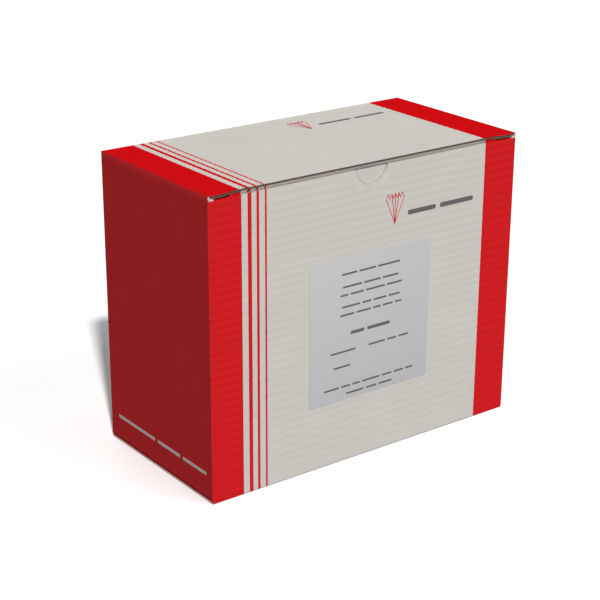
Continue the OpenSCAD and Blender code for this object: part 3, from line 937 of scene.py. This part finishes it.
def pileTree(material):
    # Filters nested in each other, each a little out of line
    tree, entry, identifiers = newShapeTree("nestedPile", {
        "Count": "Int", "Pitch": "Float", "Turn": "Float", "Slide": "Float", "Apex": "Vector", "Seed": "Int"})
    step = addNode(tree, "ShaderNodeCombineXYZ", {"Z": entry["Pitch"]}).outputs[0]
    line = addNode(tree, "GeometryNodeMeshLine", {
        "Count": entry["Count"], "Start Location": entry["Apex"], "Offset": step})
    back = addNode(tree, "ShaderNodeMath", {0: entry["Slide"], 1: -1.0}, operation="MULTIPLY").outputs[0]
    least = addNode(tree, "ShaderNodeCombineXYZ", {"X": back, "Y": back}).outputs[0]
    most = addNode(tree, "ShaderNodeCombineXYZ", {"X": entry["Slide"], "Y": entry["Slide"]}).outputs[0]
    shift = addNode(tree, "FunctionNodeRandomValue", {
        0: least, 1: most, "Seed": entry["Seed"]}, data_type="FLOAT_VECTOR").outputs[0]
    spot = addNode(tree, "GeometryNodeSetPosition", {"Geometry": line.outputs[0], "Offset": shift})
    against = addNode(tree, "ShaderNodeMath", {0: entry["Turn"], 1: -1.0}, operation="MULTIPLY").outputs[0]
    angle = addNode(tree, "FunctionNodeRandomValue", {
        2: against, 3: entry["Turn"], "Seed": entry["Seed"]}, data_type="FLOAT").outputs[1]
    turn = addNode(tree, "ShaderNodeCombineXYZ", {"Z": angle}).outputs[0]
    placed = addNode(tree, "GeometryNodeInstanceOnPoints", {
        "Points": spot.outputs[0], "Instance": entry["Geometry"], "Rotation": turn})
    real = addNode(tree, "GeometryNodeRealizeInstances", {"Geometry": placed.outputs[0]})
    done = addNode(tree, "GeometryNodeSetMaterial", {"Geometry": real.outputs[0], "Material": material})
    addNode(tree, "NodeGroupOutput", {"Geometry": done.outputs[0]})
    return tree, identifiers


def makeFilters():
    look, paper = pleated, makeFilterPaper()
    r, ply, tall, step = look["radius"], look["ply"], look["height"], look["grooveStep"]
    apexY = r * math.cos(pleatAngles()[2]) / 2
    lowerPly, upperPly = [(0, r), (ply, r)], [(tall - ply, r), (tall, r)]
    groove = [(tall / 2, r - look["nestedGroove"])]
    nested = pleatedFan("nestedFilters", lowerPly + groove + upperPly, 2, 0)
    bakeNodes(nested, *pileTree(paper), {
        "Count": look["nested"], "Pitch": look["pitch"] * mm,
        "Turn": math.radians(look["turn"]), "Slide": look["slide"] * mm,
        "Apex": (0.0, apexY * mm, look["low"] * mm), "Seed": look["seed"]})
    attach(nested, "carton_body")
    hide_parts("filter_stack")
    groove = [(height, r - look["topGroove"]) for height in (ply + step, tall - ply - step)]
    top = pleatedFan("topFilter", lowerPly + groove + upperPly, 4, apexY)
    base = look["low"] + look["nested"] * look["pitch"] + look["seat"]
    top.data.transform(Matrix.Translation((0, 0, base * mm)))
    top.data.materials.append(paper)
    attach(top, "carton_body")
    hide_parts("top_filter")
    print("filters:", len(nested.data.polygons) + len(top.data.polygons), "faces")


makeFilters()

stageLook = {
    "floorSize": 12.0,
    "floorSeen": (1.08, 1.08, 1.08, 1.0),
    "floorLit": (0.03, 0.03, 0.03, 1.0),  # what the floor throws back on the carton
    "floorGlow": 0.02,
    "worldLight": 0.105,
    "lampAway": 2,
    "lamps": {  # strength, angle across and the way it comes from
        "keyLight": (3.06, 3.0, (-0.32, -0.66, 0.68)),
        "fillLight": (1.22, 50, (0.45, -0.75, 0.48)),
        "backLight": (1.45, 40, (0.3, 0.93, 0.2)),
        "sideLight": (0.1, 40, (-1, -0.05, 0.08)),
    },
}


def seenRays(tree):  # rays that look at a thing, straight, through glass or by a reflection
    rays = addNode(tree, "ShaderNodeLightPath").outputs
    seen = rays["Is Camera Ray"]
    for name in ("Is Transmission Ray", "Is Glossy Ray"):
        seen = addNode(tree, "ShaderNodeMath", {0: seen, 1: rays[name]}, operation="MAXIMUM").outputs[0]
    return seen


def makeFloor():
    # Seamless white background paper: matt, and so bright to the eye that it shows no edge
    material, tree = newMaterial("paleFloor")
    seen = seenRays(tree)
    colour = addNode(tree, "ShaderNodeMix", {
        0: seen, 6: stageLook["floorLit"], 7: stageLook["floorSeen"]}, data_type="RGBA")
    matt = addNode(tree, "ShaderNodeBsdfDiffuse", {"Color": colour.outputs[2]})
    strength = addNode(tree, "ShaderNodeMath", {0: seen, 1: stageLook["floorGlow"]}, operation="MULTIPLY")
    glow = addNode(tree, "ShaderNodeEmission", {"Strength": strength.outputs[0]})
    both = addNode(tree, "ShaderNodeAddShader", {0: matt.outputs[0], 1: glow.outputs[0]})
    addNode(tree, "ShaderNodeOutputMaterial", {"Surface": both.outputs[0]})
    bm = bmesh.new()
    bmesh.ops.create_grid(bm, x_segments=2, y_segments=2, size=stageLook["floorSize"] / 2)
    floor = meshObject(bm, "floor", 1.0)
    floor.data.materials.append(material)


def makeWorld():
    world = bpy.data.worlds.new("studio")
    world.use_nodes = True
    tree = world.node_tree
    tree.nodes.clear()
    strength = addNode(tree, "ShaderNodeMapRange", {
        "Value": seenRays(tree), "To Min": stageLook["worldLight"], "To Max": 1.0}).outputs[0]
    light = addNode(tree, "ShaderNodeBackground", {"Color": (1.0, 1.0, 1.0, 1.0), "Strength": strength})
    addNode(tree, "ShaderNodeOutputWorld", {"Surface": light.outputs[0]})
    bpy.context.scene.world = world


def makeLamp(name, strength, angle, towards):
    lamp = bpy.data.lights.new(name, "SUN")
    lamp.energy = strength
    lamp.angle = math.radians(angle)
    made = bpy.data.objects.new(name, lamp)
    made.rotation_euler = Vector(towards).to_track_quat("Z", "Y").to_euler()
    made.location = Vector(towards).normalized() * stageLook["lampAway"]
    made.visible_glossy = False  # matt board and paper show no lamp
    bpy.context.scene.collection.objects.link(made)


cameraLook = {
    "lens": 93.723, "sensor": 36, "nearest": 0.01,  # mm, mm and metres
    "place": (-485.76, -637.06, 379.61),
    "azimuth": 36.858, "elevation": 20.934, "roll": 0.253,
}


def makeCamera():
    look = cameraLook
    data = bpy.data.cameras.new("camera")
    data.lens, data.sensor_width, data.clip_start = look["lens"], look["sensor"], look["nearest"]
    camera = bpy.data.objects.new("camera", data)
    turn = Euler((math.radians(90 - look["elevation"]), 0, -math.radians(look["azimuth"]))).to_matrix()
    turn = turn @ Matrix.Rotation(math.radians(look["roll"]), 3, "Z")
    camera.matrix_world = Matrix.Translation(Vector(look["place"]) * mm) @ turn.to_4x4()
    bpy.context.scene.collection.objects.link(camera)
    bpy.context.scene.camera = camera


makeFloor()
makeWorld()
for lampName, (strength, angle, towards) in stageLook["lamps"].items():
    makeLamp(lampName, strength, angle, towards)
makeCamera()
bpy.context.scene.view_settings.view_transform = "Standard"
print("stage, lights and camera are set")
